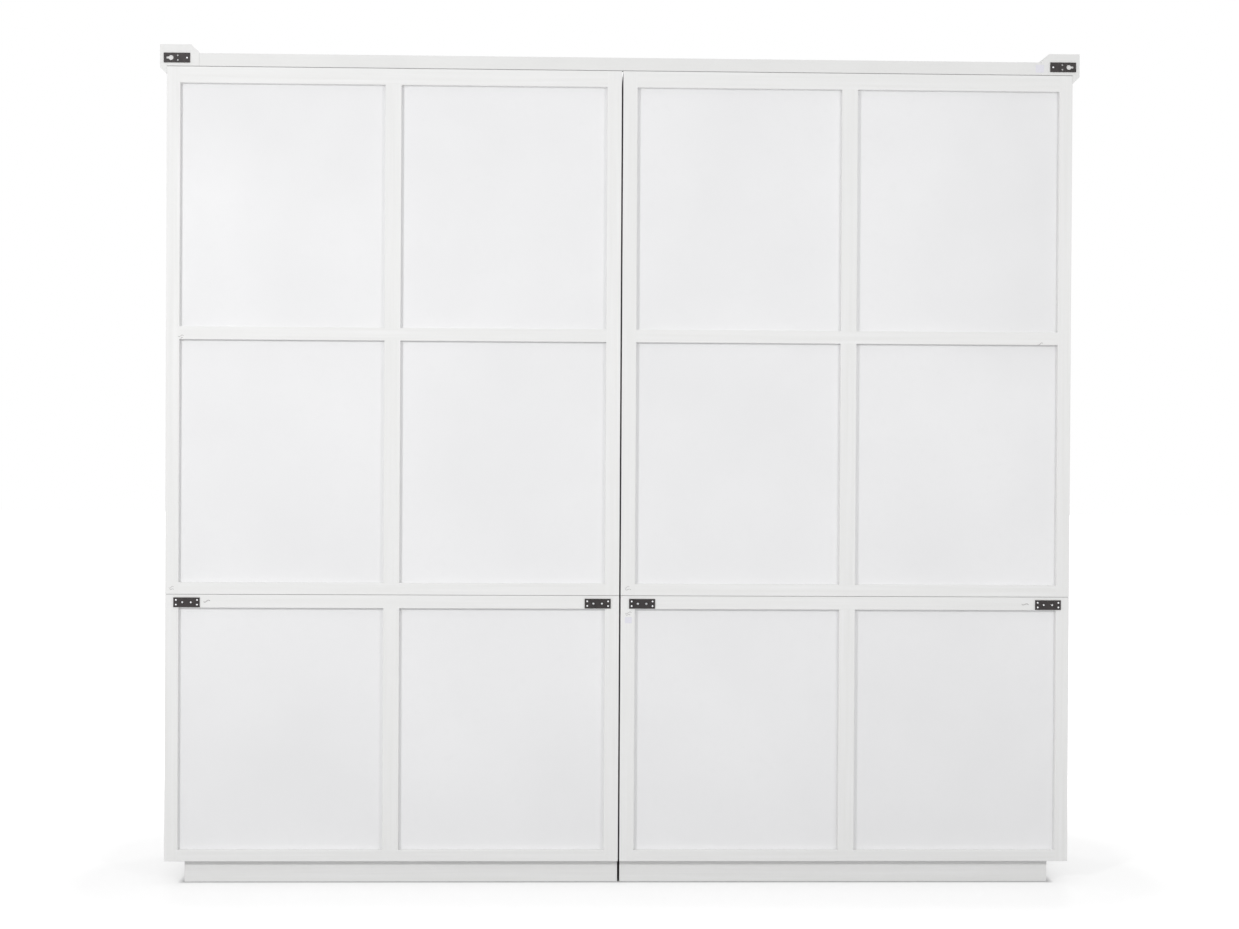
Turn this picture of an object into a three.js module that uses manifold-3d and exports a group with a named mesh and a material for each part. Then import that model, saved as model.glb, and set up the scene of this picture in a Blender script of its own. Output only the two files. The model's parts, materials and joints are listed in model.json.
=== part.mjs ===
// Pair of vertical wall beds in one white painted cabinet, in millimetres, +Z up.
// Front at -Y, wall at +Y. Left and right are as seen from the front: left is -X.
import * as THREE from "three";
import { RoundedBoxGeometry } from "three/addons/geometries/RoundedBoxGeometry.js";
import { mergeVertices } from "three/addons/utils/BufferGeometryUtils.js";
import Module from "manifold-3d";

const wasm = await Module();
wasm.setup();

// cabinet
const columnWidth = 1168; // one bed's column, outside to outside
const columnGap = 4; // between the two columns
const cabinetDepth = 430; // front edge of the sides to the back plane
const boardThickness = 22;
const lowerHeight = 688; // lower section, above the plinth
const upperHeight = 1356; // upper section
const plinthHeight = 58;
const plinthThickness = 18;
const plinthOuterInset = 48;
const plinthInnerInset = 1;
const plinthBackSetback = 25; // room for the skirting of the wall
const plinthFrontSetback = 40;

// framed back of each section
const backFrameThickness = 15;
const backPanelThickness = 6;
const outerStile = 34;
const innerStile = 37;
const middleStile = 41;
const middleStileOffset = 4; // from the column's centre, towards its outer side
const lowerBottomRail = 29;
const lowerTopRail = 34;
const upperBottomRail = 30;
const upperMiddleRail = 33;
const upperTopRail = 42;
const sectionSeam = 1.6; // gap between the two back frames

// crown
const crownOverhang = 18;
const crownDrop = 20; // how far the overhang hangs below the top of the carcass
const crownChamfer = 17;
const crownRise = 56; // above the carcass
const crownWidth = 100; // footprint of the moulding
const crownBackRail = 34; // height of the rail between its two ends
const crownSlope = 20; // level difference taken by the sloping inner edge
const crownRailThickness = 18;
const coverStripWidth = 40;
const coverStripThickness = 5;

// fixing plates on the back
const plateLength = 67;
const plateHeight = 25;
const plateThickness = 2.5;
const plateScrewInset = 6.5; // screw centres in from the edges
const plateScrewRadius = 2.4;
const plateBoltRadius = 3;
const plateHoleSpacing = 22; // of the two middle holes
const keyholeRadius = 6.5;
const keyholeSlotRadius = 2.8;
const keyholeSlotLength = 12;
const keyholeScrewOffset = 17;
const anchorInset = 22; // from the side of the column
const anchorDrop = 8; // below the seam of the two sections
const keyholeOutset = 8; // past the side of the carcass
const keyholeLift = 9; // above the top of the carcass

// bed face, the front that folds down
const faceGap = 3; // around the face
const faceSetback = 2; // behind the front edges of the cabinet
const faceFrameThickness = 19;
const facePanelThickness = 6;
const faceStile = 72;
const faceRail = 76;
const faceBottom = 168; // height of the lower edge of the face
const kickGap = 8; // under the face, so its lower corner swings past
const kickThickness = 19;

// steel bed frame, slats and mattress
const mechanismGap = 38; // each side of the bed frame
const railWidth = 25;
const railDepth = 60;
const ledgeDepth = 12;
const ledgeWidth = 45;
const ledgeOffset = 21; // from the face side of the rails
const slatThickness = 12;
const slatCount = 14;
const slatGap = 62;
const slatBatten = 40;
const headReach = 232; // bed frame past the pivot
const footMargin = 20; // bed frame short of the top of the face
const mattressThickness = 220;
const mattressSideMargin = 36.5; // inside the outer faces of the bed frame
const mattressEndMargin = 27;
const mattressRadius = 28;
const seatGap = 0.3;

// pivot and gas struts
const pivotDepth = 60; // behind the front edges of the cabinet
const pivotHeight = 330;
const pivotRadius = 7;
const runningGap = 0.3;
const strutTop = [100, 710]; // depth and height of the fixed stud of the strut
const strutFoot = [31, -85]; // from the pivot to the foot of the strut, bed closed
const studRadius = 5;
const leverThickness = 4;
const leverRadius = 30; // around the pivot, clear of the face
const leverFootRadius = 18;
const mountTopRadius = 24;
const eyeRadius = 9;
const studOverrun = 2; // past what the stud carries
const pivotReach = 21; // of the pivot stud into the side rail
const mountThickness = 5;
const cylinderRadius = 11;
const cylinderTop = 16; // below the fixed stud
const cylinderBottom = 262;
const boreTop = 118;
const rodRadius = 5;
const rodTop = 242;
const strutEyeWidth = 14;

// folding leg, which is also the handle
const tubeRadius = 11;
const legStandOff = 18; // pivot in front of the face
const legTopMargin = 29; // pivot below the top of the face
const legInset = 104; // centre of its tube, in from the side of the face
const legBend = 45;
const legPinRadius = 4;
const legRailThickness = 3;
const legRailHeight = 44;
const legRailOverrun = 26; // past the tubes
const legEndLift = 8; // end of the tube above its pin
const legEarGap = 2; // from the tube to its ear
const legEarThickness = 4;
const legEarRadius = 9;
const legPinOverrun = 3; // past the ear
const floorGap = 0.6;

// derived sizes
const totalWidth = 2 * columnWidth + columnGap;
const seamHeight = plinthHeight + lowerHeight;
const carcassTop = seamHeight + upperHeight;
const crownTop = carcassTop + crownRise;
const sideDepth = cabinetDepth - backFrameThickness;
const innerDepth = sideDepth - backPanelThickness;
const innerHalf = columnWidth / 2 - boardThickness;
const faceHalf = innerHalf - faceGap;
const faceTop = carcassTop - boardThickness - faceGap;
const faceBack = faceSetback + faceFrameThickness + facePanelThickness;
const bedHalf = innerHalf - mechanismGap;
const bedHead = pivotHeight - headReach;
const bedFoot = faceTop - footMargin;
const deckDepth = faceBack + ledgeOffset + ledgeDepth;
const mattressDepth = deckDepth + slatThickness + seatGap;
const mattressWidth = 2 * (bedHalf - mattressSideMargin);
const mattressLength = bedFoot - bedHead - 2 * mattressEndMargin;
const leverOuter = bedHalf + leverThickness;
const mountInner = innerHalf - mountThickness;
const strutPlane = (leverOuter + mountInner) / 2;
const strutReach = [
  pivotDepth + strutFoot[0] - strutTop[0],
  pivotHeight + strutFoot[1] - strutTop[1],
];
const strutLength = Math.hypot(...strutReach);
const strutLean = Math.atan2(strutReach[0], -strutReach[1]);
const legHalfSpan = faceHalf - legInset;
const legPivotDepth = faceSetback - legStandOff;
const legPivotHeight = faceTop - legTopMargin;
const legLength = pivotHeight - pivotDepth + legPivotDepth - floorGap;
const frontMost = legPivotDepth - tubeRadius;
const backMost = cabinetDepth + plateThickness;

const finishes = {
  paint: { color: "#eeedeb", roughness: 0.42, metalness: 0 },
  darkSteel: { color: "#2b2b2d", roughness: 0.45, metalness: 0.9 },
  steel: { color: "#b9bcc0", roughness: 0.35, metalness: 1 },
  greyPaint: { color: "#8f9295", roughness: 0.5, metalness: 0.2 },
  slatWood: { color: "#d8b98a", roughness: 0.6, metalness: 0 },
  ticking: { color: "#f1efe8", roughness: 0.9, metalness: 0 },
};

const model = new THREE.Group();
model.name = "murphy_wall_bed";
model.position.y = -(frontMost + backMost) / 2;
let parent = model;

function add(name, geometry, finish, position = [0, 0, 0], turn = 0) {
  const mesh = new THREE.Mesh(geometry, new THREE.MeshStandardMaterial(finishes[finish]));
  mesh.name = name;
  mesh.position.set(...position);
  mesh.rotation.x = turn;
  parent.add(mesh);
}

function board(name, [x0, x1], [y0, y1], [z0, z1], finish = "paint") {
  const geometry = new THREE.BoxGeometry(x1 - x0, y1 - y0, z1 - z0);
  add(name, geometry, finish, [(x0 + x1) / 2, (y0 + y1) / 2, (z0 + z1) / 2]);
}

function block([x0, x1], [y0, y1], [z0, z1]) {
  const geometry = new THREE.BoxGeometry(x1 - x0, y1 - y0, z1 - z0);
  return geometry.translate((x0 + x1) / 2, (y0 + y1) / 2, (z0 + z1) / 2);
}

// a plate on edge: outline in depth and height, thickness in +X from 0
function edgePlate(outline, thickness) {
  const geometry = new THREE.ExtrudeGeometry(outline, {
    depth: thickness,
    bevelEnabled: false,
    curveSegments: 10,
  });
  const across = new THREE.Vector3(1, 0, 0);
  const inward = new THREE.Vector3(0, 1, 0);
  const upward = new THREE.Vector3(0, 0, 1);
  return geometry.applyMatrix4(new THREE.Matrix4().makeBasis(inward, upward, across));
}

// outline around two circles, the first at the origin
function twoCircles(firstRadius, [y, z], secondRadius) {
  const heading = Math.atan2(z, y);
  const spread = Math.acos((firstRadius - secondRadius) / Math.hypot(y, z));
  const outline = new THREE.Shape();
  outline.absarc(0, 0, firstRadius, heading + spread, heading - spread + 2 * Math.PI);
  outline.absarc(y, z, secondRadius, heading - spread, heading + spread);
  outline.closePath();
  return outline;
}

function pinAcross(radius, x0, x1, y = 0, z = 0, segments = 24) {
  const geometry = new THREE.CylinderGeometry(radius, radius, x1 - x0, segments);
  return geometry.rotateZ(Math.PI / 2).translate((x0 + x1) / 2, y, z);
}

function pinInward(radius, y0, y1, x = 0, z = 0, segments = 16) {
  const geometry = new THREE.CylinderGeometry(radius, radius, y1 - y0, segments);
  return geometry.translate(x, (y0 + y1) / 2, z);
}

function pinUpright(radius, z0, z1, segments = 24) {
  const geometry = new THREE.CylinderGeometry(radius, radius, z1 - z0, segments);
  return geometry.rotateX(Math.PI / 2).translate(0, 0, (z0 + z1) / 2);
}

// closed solid through a row of rings that all have the same number of points
function loft(rings) {
  const count = rings[0].length;
  const flat = rings[0].map((point) => point.outline);
  const faces = [];
  for (let ring = 0; ring + 1 < rings.length; ring += 1) {
    for (let at = 0; at < count; at += 1) {
      const next = (at + 1) % count;
      const near = ring * count;
      const far = near + count;
      faces.push(near + at, near + next, far + next, near + at, far + next, far + at);
    }
  }
  const last = (rings.length - 1) * count;
  for (const [a, b, c] of THREE.ShapeUtils.triangulateShape(flat, [])) {
    faces.push(a, c, b, last + a, last + b, last + c);
  }
  const geometry = new THREE.BufferGeometry();
  const points = rings.flat().flatMap((point) => point.place);
  geometry.setAttribute("position", new THREE.Float32BufferAttribute(points, 3));
  geometry.setIndex(faces);
  return geometry;
}

function toSolid(geometry) {
  const bare = new THREE.BufferGeometry();
  bare.setAttribute("position", geometry.getAttribute("position"));
  bare.setIndex(geometry.index);
  const merged = mergeVertices(bare, 1e-4);
  const mesh = new wasm.Mesh({
    numProp: 3,
    vertProperties: new Float32Array(merged.getAttribute("position").array),
    triVerts: new Uint32Array(merged.index.array),
  });
  return new wasm.Manifold(mesh);
}

// first geometry joined with the added ones, less the removed ones
function carve(first, added, removed = []) {
  let body = toSolid(first);
  for (const piece of added) {
    body = body.add(toSolid(piece));
  }
  for (const piece of removed) {
    body = body.subtract(toSolid(piece));
  }
  const result = body.getMesh();
  const geometry = new THREE.BufferGeometry();
  geometry.setAttribute("position", new THREE.Float32BufferAttribute(result.vertProperties, 3));
  geometry.setIndex(new THREE.BufferAttribute(new Uint32Array(result.triVerts), 1));
  geometry.computeVertexNormals();
  return geometry;
}

// frame of stiles and rails with a window between each two of them
function framing(stiles, rails, thickness) {
  const windows = [];
  for (let column = 0; column + 1 < stiles.length; column += 1) {
    for (let row = 0; row + 1 < rails.length; row += 1) {
      const across = [stiles[column][1], stiles[column + 1][0]];
      windows.push(block(across, [-1, thickness + 1], [rails[row][1], rails[row + 1][0]]));
    }
  }
  const across = [stiles[0][0], stiles.at(-1)[1]];
  return carve(block(across, [0, thickness], [rails[0][0], rails.at(-1)[1]]), [], windows);
}

function addCabinetColumn(name, side) {
  const centre = (side * (columnWidth + columnGap)) / 2;
  const outer = centre + (side * columnWidth) / 2;
  const inner = centre - (side * columnWidth) / 2;
  const span = (a, b) => [Math.min(a, b), Math.max(a, b)];
  const inside = [centre - innerHalf, centre + innerHalf];

  const plinthX = span(outer - side * plinthOuterInset, inner + side * plinthInnerInset);
  const plinthY = [plinthFrontSetback, cabinetDepth - plinthBackSetback];
  const [hollowX, hollowY] = [plinthX, plinthY].map(([low, high]) => [
    low + plinthThickness,
    high - plinthThickness,
  ]);
  const hollow = block(hollowX, hollowY, [-1, plinthHeight + 1]);
  const plinth = carve(block(plinthX, plinthY, [0, plinthHeight]), [], [hollow]);
  add(`${name}_plinth`, plinth, "paint");

  const deep = [0, innerDepth];
  const bottomTop = plinthHeight + boardThickness;
  board(`${name}_bottom_board`, inside, deep, [plinthHeight, bottomTop]);
  board(`${name}_top_board`, inside, deep, [carcassTop - boardThickness, carcassTop]);
  const kickDeep = [faceSetback, faceSetback + kickThickness];
  board(`${name}_kick_board`, inside, kickDeep, [bottomTop, faceBottom - kickGap]);

  const outerSide = span(outer, outer - side * boardThickness);
  const innerSide = span(inner, inner + side * boardThickness);
  const sections = { lower: [plinthHeight, seamHeight], upper: [seamHeight, carcassTop] };
  for (const [section, tall] of Object.entries(sections)) {
    board(`${name}_${section}_outer_side`, outerSide, [0, sideDepth], tall);
    board(`${name}_${section}_inner_side`, innerSide, [0, sideDepth], tall);
    board(`${name}_${section}_back_panel`, inside, [innerDepth, sideDepth], tall);
  }

  const stileCentre = centre + side * middleStileOffset;
  const stiles = [
    span(outer, outer - side * outerStile),
    [stileCentre - middleStile / 2, stileCentre + middleStile / 2],
    span(inner, inner + side * innerStile),
  ].sort((a, b) => a[0] - b[0]);
  const lowerTop = seamHeight - sectionSeam / 2;
  const upperBottom = seamHeight + sectionSeam / 2;
  const lowerRows = [
    [plinthHeight, plinthHeight + lowerBottomRail],
    [lowerTop - lowerTopRail, lowerTop],
  ];
  const upperMiddle = (upperBottom + upperBottomRail + carcassTop - upperTopRail) / 2;
  const upperRows = [
    [upperBottom, upperBottom + upperBottomRail],
    [upperMiddle - upperMiddleRail / 2, upperMiddle + upperMiddleRail / 2],
    [carcassTop - upperTopRail, carcassTop],
  ];
  for (const [section, rows] of Object.entries({ lower: lowerRows, upper: upperRows })) {
    const frame = framing(stiles, rows, backFrameThickness);
    add(`${name}_${section}_back_frame`, frame, "paint", [0, sideDepth, 0]);
  }

  // six hole plates that tie the lower section to the wall
  const anchors = { outer: outer - side * anchorInset, inner: inner + side * anchorInset };
  for (const [place, edge] of Object.entries(anchors)) {
    const toMiddle = Math.sign(centre - edge);
    const plateCentre = edge + (toMiddle * plateLength) / 2;
    const position = [plateCentre, cabinetDepth, seamHeight - anchorDrop - plateHeight / 2];
    add(`${name}_${place}_anchor_plate`, anchorPlate(), "darkSteel", position);
  }
  const keyholeCentre = outer + side * (keyholeOutset - plateLength / 2);
  const keyholeAt = [keyholeCentre, cabinetDepth, carcassTop + keyholeLift + plateHeight / 2];
  add(`${name}_keyhole_plate`, keyholePlate(side), "darkSteel", keyholeAt);
}

function plateBlank() {
  const half = [plateLength / 2, plateHeight / 2];
  return block([-half[0], half[0]], [0, plateThickness], [-half[1], half[1]]);
}

function plateHole(x, z, radius) {
  return pinInward(radius, -1, plateThickness + 1, x, z);
}

function anchorPlate() {
  const half = plateHoleSpacing / 2;
  const holes = [plateHole(-half, 0, plateBoltRadius), plateHole(half, 0, plateBoltRadius)];
  const screwX = plateLength / 2 - plateScrewInset;
  const screwZ = plateHeight / 2 - plateScrewInset;
  for (const x of [-screwX, screwX]) {
    holes.push(plateHole(x, screwZ, plateScrewRadius), plateHole(x, -screwZ, plateScrewRadius));
  }
  return carve(plateBlank(), [], holes);
}

// round end of the keyhole towards the middle of the cabinet, slot towards its side
function keyholePlate(side) {
  const roundAt = side * (plateLength / 2 - keyholeSlotLength - plateScrewInset);
  const slotSpan = [roundAt, roundAt + side * keyholeSlotLength].sort((a, b) => a - b);
  const slotHeight = [-keyholeSlotRadius, keyholeSlotRadius];
  const screwX = roundAt - side * keyholeScrewOffset;
  const screwZ = plateHeight / 2 - plateScrewInset;
  const lastX = -side * (plateLength / 2 - plateScrewInset - 1);
  return carve(plateBlank(), [], [
    block(slotSpan, [-1, plateThickness + 1], slotHeight),
    plateHole(roundAt, 0, keyholeRadius),
    plateHole(screwX, screwZ, plateScrewRadius),
    plateHole(screwX, -screwZ, plateScrewRadius),
    plateHole(lastX, 0, plateScrewRadius),
  ]);
}

function addCrown() {
  // outline: distance in from the outer face, height over the floor
  const outline = [
    [0, crownTop],
    [0, carcassTop - crownDrop + crownChamfer],
    [crownChamfer, carcassTop - crownDrop],
    [crownOverhang, carcassTop - crownDrop],
    [crownOverhang, carcassTop],
    [crownWidth, carcassTop],
    [crownWidth, crownTop - crownSlope],
    [crownWidth - crownSlope, crownTop],
  ].map(([inward, height]) => new THREE.Vector2(inward, height));
  const half = totalWidth / 2 + crownOverhang;
  const stations = [
    [(u) => u - half, () => cabinetDepth],
    [(u) => u - half, (u) => u - crownOverhang],
    [(u) => half - u, (u) => u - crownOverhang],
    [(u) => half - u, () => cabinetDepth],
  ];
  const rings = stations.map(([x, y]) =>
    outline.map((point) => ({ outline: point, place: [x(point.x), y(point.x), point.y] })),
  );
  add("crown_moulding", loft(rings), "paint");
  const railHalf = half - crownWidth;
  const railDeep = [cabinetDepth - crownRailThickness, cabinetDepth];
  board("crown_back_rail", [-railHalf, railHalf], railDeep, [carcassTop, carcassTop + crownBackRail]);
  const strip = [-coverStripWidth / 2, coverStripWidth / 2];
  const stripTall = [plinthHeight, carcassTop - crownDrop];
  board("front_cover_strip", strip, [-coverStripThickness, 0], stripTall);
}

function bedFrameGeometry() {
  const rails = framing(
    [
      [-bedHalf, railWidth - bedHalf],
      [bedHalf - railWidth, bedHalf],
    ],
    [
      [bedHead, bedHead + railWidth],
      [bedFoot - railWidth, bedFoot],
    ],
    railDepth,
  );
  const ledges = framing(
    [
      [1 - bedHalf, ledgeWidth - bedHalf],
      [-railWidth / 2, railWidth / 2],
      [bedHalf - ledgeWidth, bedHalf - 1],
    ],
    [
      [bedHead + 1, bedHead + ledgeWidth],
      [bedFoot - ledgeWidth, bedFoot - 1],
    ],
    ledgeDepth,
  );
  ledges.translate(0, ledgeOffset, 0);
  const leverOutline = twoCircles(leverRadius, strutFoot, leverFootRadius);
  const lever = edgePlate(leverOutline, leverThickness + 1);
  const pivot = [pivotDepth - faceBack, pivotHeight];
  const levers = [bedHalf - 1, -leverOuter].map((x) => lever.clone().translate(x, ...pivot));
  const holes = [-1, 1].map((side) => {
    const ends = [bedHalf - railWidth - 10, leverOuter + 10].map((x) => side * x);
    const [x0, x1] = ends.sort((a, b) => a - b);
    return pinAcross(pivotRadius + runningGap, x0, x1, ...pivot);
  });
  return carve(rails, [ledges, ...levers], holes);
}

// U of round tube that hangs from its two pins; a ring's turn is its tilt in the bend
function legGeometry() {
  const corners = 16;
  const ringAt = (x, z, tilt) =>
    Array.from({ length: corners }, (unused, at) => {
      const turn = (2 * Math.PI * at) / corners;
      const outline = new THREE.Vector2(Math.cos(turn), Math.sin(turn)).multiplyScalar(tubeRadius);
      const place = [x + outline.x * Math.cos(tilt), -outline.y, z + outline.x * Math.sin(tilt)];
      return { outline, place };
    });
  const low = tubeRadius - legLength;
  const rings = [ringAt(-legHalfSpan, legEndLift, 0)];
  const steps = 6;
  for (const side of [-1, 1]) {
    for (let step = 0; step <= steps; step += 1) {
      const turn = (Math.PI / 2) * (step / steps) + (side > 0 ? Math.PI / 2 : 0);
      const bendX = side * (legHalfSpan - legBend) - legBend * Math.cos(turn);
      rings.push(ringAt(bendX, low + legBend - legBend * Math.sin(turn), turn));
    }
  }
  rings.push(ringAt(legHalfSpan, legEndLift, Math.PI));
  const pinEnd = legHalfSpan + tubeRadius + legEarGap + legEarThickness + legPinOverrun;
  const pins = [
    [-pinEnd, -legHalfSpan],
    [legHalfSpan, pinEnd],
  ].map(([x0, x1]) => pinAcross(legPinRadius, x0, x1, 0, 0, 16));
  return carve(loft(rings), pins);
}

function legRailGeometry() {
  const half = legHalfSpan + tubeRadius + legRailOverrun;
  const tall = [-legRailHeight / 2, legRailHeight / 2];
  const plate = block([-half, half], [legStandOff - legRailThickness, legStandOff], tall);
  const ear = twoCircles(legEarRadius, [legStandOff - legEarRadius - 1, 0], legEarRadius - 0.01);
  const earFace = legHalfSpan + tubeRadius + legEarGap;
  const ears = [earFace, -earFace - legEarThickness].map((x) =>
    edgePlate(ear, legEarThickness).translate(x, 0, 0),
  );
  return carve(plate, ears, [pinAcross(legPinRadius + runningGap, -half, half)]);
}

function cylinderGeometry() {
  const tube = pinUpright(cylinderRadius, -cylinderBottom, -cylinderTop);
  const neck = pinUpright(cylinderRadius * 0.6, -cylinderTop - 1, 0, 16);
  const eye = pinAcross(cylinderRadius, -strutEyeWidth / 2, strutEyeWidth / 2);
  const bore = pinUpright(rodRadius + runningGap, -cylinderBottom - 1, -boreTop);
  const hole = pinAcross(studRadius + runningGap, -strutEyeWidth, strutEyeWidth);
  return carve(tube, [neck, eye], [bore, hole]);
}

function rodGeometry(side) {
  const rod = pinUpright(rodRadius, -strutLength, -rodTop);
  const half = strutEyeWidth / 2;
  const eye = pinAcross(eyeRadius, -half, half, 0, -strutLength);
  const reach = -side * (strutPlane - leverOuter - runningGap);
  const [x0, x1] = [0, reach].sort((a, b) => a - b);
  return carve(rod, [eye, pinAcross(studRadius, x0, x1, 0, -strutLength)]);
}

function strutMountGeometry(side) {
  const toTop = [strutTop[0] - pivotDepth, strutTop[1] - pivotHeight];
  const plate = edgePlate(twoCircles(leverRadius, toTop, mountTopRadius), mountThickness);
  plate.translate(side > 0 ? mountInner : -innerHalf, 0, 0);
  const studs = [
    [pivotRadius, bedHalf - pivotReach, [0, 0]],
    [studRadius, strutPlane - strutEyeWidth / 2 - studOverrun, toTop],
  ].map(([radius, end, [y, z]]) => {
    const [x0, x1] = [side * end, side * (mountInner + 2)].sort((a, b) => a - b);
    return pinAcross(radius, x0, x1, y, z);
  });
  return carve(plate, studs);
}

function addBed(name, column) {
  const centre = (column * (columnWidth + columnGap)) / 2;
  parent = new THREE.Group();
  parent.position.x = centre;
  model.add(parent);

  const stiles = [
    [-faceHalf, faceStile - faceHalf],
    [-faceStile / 2, faceStile / 2],
    [faceHalf - faceStile, faceHalf],
  ];
  const pitch = (faceTop - faceBottom - faceRail) / 3;
  const rows = [0, 1, 2, 3].map((row) => faceBottom + row * pitch);
  const faceRows = rows.map((low) => [low, low + faceRail]);
  const face = framing(stiles, faceRows, faceFrameThickness);
  add(`${name}_face_frame`, face, "paint", [0, faceSetback, 0]);
  const across = [-faceHalf, faceHalf];
  const panelDeep = [faceBack - facePanelThickness, faceBack];
  board(`${name}_face_panel`, across, panelDeep, [faceBottom, faceTop]);

  add(`${name}_bed_frame`, bedFrameGeometry(), "greyPaint", [0, faceBack, 0]);
  const inset = railWidth + 1;
  const battens = [
    [inset - bedHalf, inset + slatBatten - bedHalf],
    [bedHalf - inset - slatBatten, bedHalf - inset],
  ];
  const deckSpan = bedFoot - bedHead - 2 * inset;
  const slatPitch = (deckSpan + slatGap) / slatCount;
  const slats = Array.from({ length: slatCount }, (unused, at) => {
    const low = bedHead + inset + at * slatPitch;
    return [low, low + slatPitch - slatGap];
  });
  const deck = framing(battens, slats, slatThickness);
  add(`${name}_slat_deck`, deck, "slatWood", [0, deckDepth, 0]);
  const size = [mattressWidth, mattressThickness, mattressLength];
  const mattress = new RoundedBoxGeometry(...size, 3, mattressRadius);
  const mattressAt = [0, mattressDepth + mattressThickness / 2, (bedHead + bedFoot) / 2];
  add(`${name}_mattress`, mattress, "ticking", mattressAt);

  const legAt = [0, legPivotDepth, legPivotHeight];
  add(`${name}_leg_rail`, legRailGeometry(), "steel", legAt);
  add(`${name}_leg`, legGeometry(), "steel", legAt);

  for (const [place, side] of Object.entries({ left: -1, right: 1 })) {
    const label = `${name}_bed_${place}`;
    const strutAt = [side * strutPlane, ...strutTop];
    const mountAt = [0, pivotDepth, pivotHeight];
    add(`${label}_strut_mount`, strutMountGeometry(side), "steel", mountAt);
    add(`${label}_cylinder`, cylinderGeometry(), "darkSteel", strutAt, strutLean);
    add(`${label}_rod`, rodGeometry(side), "steel", strutAt, strutLean);
  }
  parent = model;
}

for (const [name, side] of Object.entries({ left: -1, right: 1 })) {
  addCabinetColumn(name, side);
  addBed(name, side);
}
addCrown();

export default model;
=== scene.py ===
import json
import math
import random

import bmesh
import bpy
from mathutils import Matrix, Vector
from mathutils.bvhtree import BVHTree


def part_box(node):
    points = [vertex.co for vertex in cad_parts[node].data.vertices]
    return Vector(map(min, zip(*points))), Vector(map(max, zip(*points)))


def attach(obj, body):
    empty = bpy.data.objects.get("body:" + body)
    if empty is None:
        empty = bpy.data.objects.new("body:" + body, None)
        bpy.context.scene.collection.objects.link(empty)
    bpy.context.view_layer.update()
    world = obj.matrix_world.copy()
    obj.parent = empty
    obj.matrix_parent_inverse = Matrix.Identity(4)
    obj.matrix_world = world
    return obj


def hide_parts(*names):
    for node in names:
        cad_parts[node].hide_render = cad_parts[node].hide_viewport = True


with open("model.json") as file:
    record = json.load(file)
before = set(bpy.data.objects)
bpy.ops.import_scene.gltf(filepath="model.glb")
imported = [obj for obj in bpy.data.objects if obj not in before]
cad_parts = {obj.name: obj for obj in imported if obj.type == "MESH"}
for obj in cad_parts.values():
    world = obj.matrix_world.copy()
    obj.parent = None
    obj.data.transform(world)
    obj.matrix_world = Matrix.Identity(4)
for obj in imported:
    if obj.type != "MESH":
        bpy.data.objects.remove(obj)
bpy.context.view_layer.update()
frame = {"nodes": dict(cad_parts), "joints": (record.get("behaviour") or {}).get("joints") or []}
scene = bpy.context.scene
nodes = frame["nodes"]
joints = {joint["name"]: joint for joint in frame["joints"]}
columns = {"left": -1, "right": 1}  # as seen from the front, where the beds fold down
print("frame loaded:", len(nodes), "CAD nodes")


def newObject(name, data):
    made = bpy.data.objects.new(name, data)
    scene.collection.objects.link(made)
    return made


# camera, square on to the wall side of the cabinet
cameraView = {"place": (0.142, 5.227, 1.118), "turn": (89.628, -0.313, 178.409), "lens": 56.2}
camera = newObject("camera", bpy.data.cameras.new("camera"))
camera.data.lens = cameraView["lens"]
camera.data.sensor_width = 36
camera.location = cameraView["place"]
camera.rotation_euler = [math.radians(turn) for turn in cameraView["turn"]]
scene.camera = camera


# nodes and colours

def plug(tree, node, links):
    for name, value in links.items():
        socket = node.inputs[name]
        if isinstance(value, bpy.types.NodeSocket):
            tree.links.new(value, socket)
        else:
            socket.default_value = value


def addNode(tree, kind, links=None, **settings):
    node = tree.nodes.new(kind)
    for name, value in settings.items():
        setattr(node, name, value)
    plug(tree, node, links or {})
    return node


def linear(hexColour):
    parts = [int(hexColour[at : at + 2], 16) / 255 for at in (1, 3, 5)]
    return (*(c / 12.92 if c <= 0.04045 else ((c + 0.055) / 1.055) ** 2.4 for c in parts), 1)


def perMetre(millimetres):
    return 1000 / millimetres


def bandScale(millimetres):
    return perMetre(millimetres) / 6.2832 * 2  # sets a wave texture's bands this far apart


def newMaterial(name):
    material = bpy.data.materials.new(name)
    material.use_nodes = True
    tree = material.node_tree
    tree.nodes.clear()
    shader = addNode(tree, "ShaderNodeBsdfPrincipled")
    addNode(tree, "ShaderNodeOutputMaterial", {"Surface": shader.outputs["BSDF"]})
    place = addNode(tree, "ShaderNodeTexCoord").outputs["Object"]
    return material, tree, shader, place


def mixColours(tree, factor, first, second):
    first, second = (linear(c) if isinstance(c, str) else c for c in (first, second))
    mix = addNode(tree, "ShaderNodeMix", {0: factor, 6: first, 7: second}, data_type="RGBA")
    return mix.outputs[2]


def spread(tree, value, low=0, high=1, fromLow=0.3, fromHigh=0.7):
    limits = {
        "Value": value, "From Min": fromLow, "From Max": fromHigh, "To Min": low, "To Max": high,
    }
    return addNode(tree, "ShaderNodeMapRange", limits).outputs["Result"]


def noiseAt(tree, place, millimetres, detail=2, roughness=0.5):
    scale = perMetre(millimetres)
    links = {"Vector": place, "Scale": scale, "Detail": detail, "Roughness": roughness}
    return addNode(tree, "ShaderNodeTexNoise", links).outputs["Fac"]


def grainAlong(tree, place, long, wide, **links):
    # noise drawn out along X, as rolled, brushed or planed things show it
    scale = (perMetre(long), perMetre(wide), perMetre(wide))
    along = addNode(tree, "ShaderNodeMapping", {"Vector": place, "Scale": scale}).outputs[0]
    return addNode(tree, "ShaderNodeTexNoise", {"Vector": along, "Scale": 1, **links}).outputs["Fac"]


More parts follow.
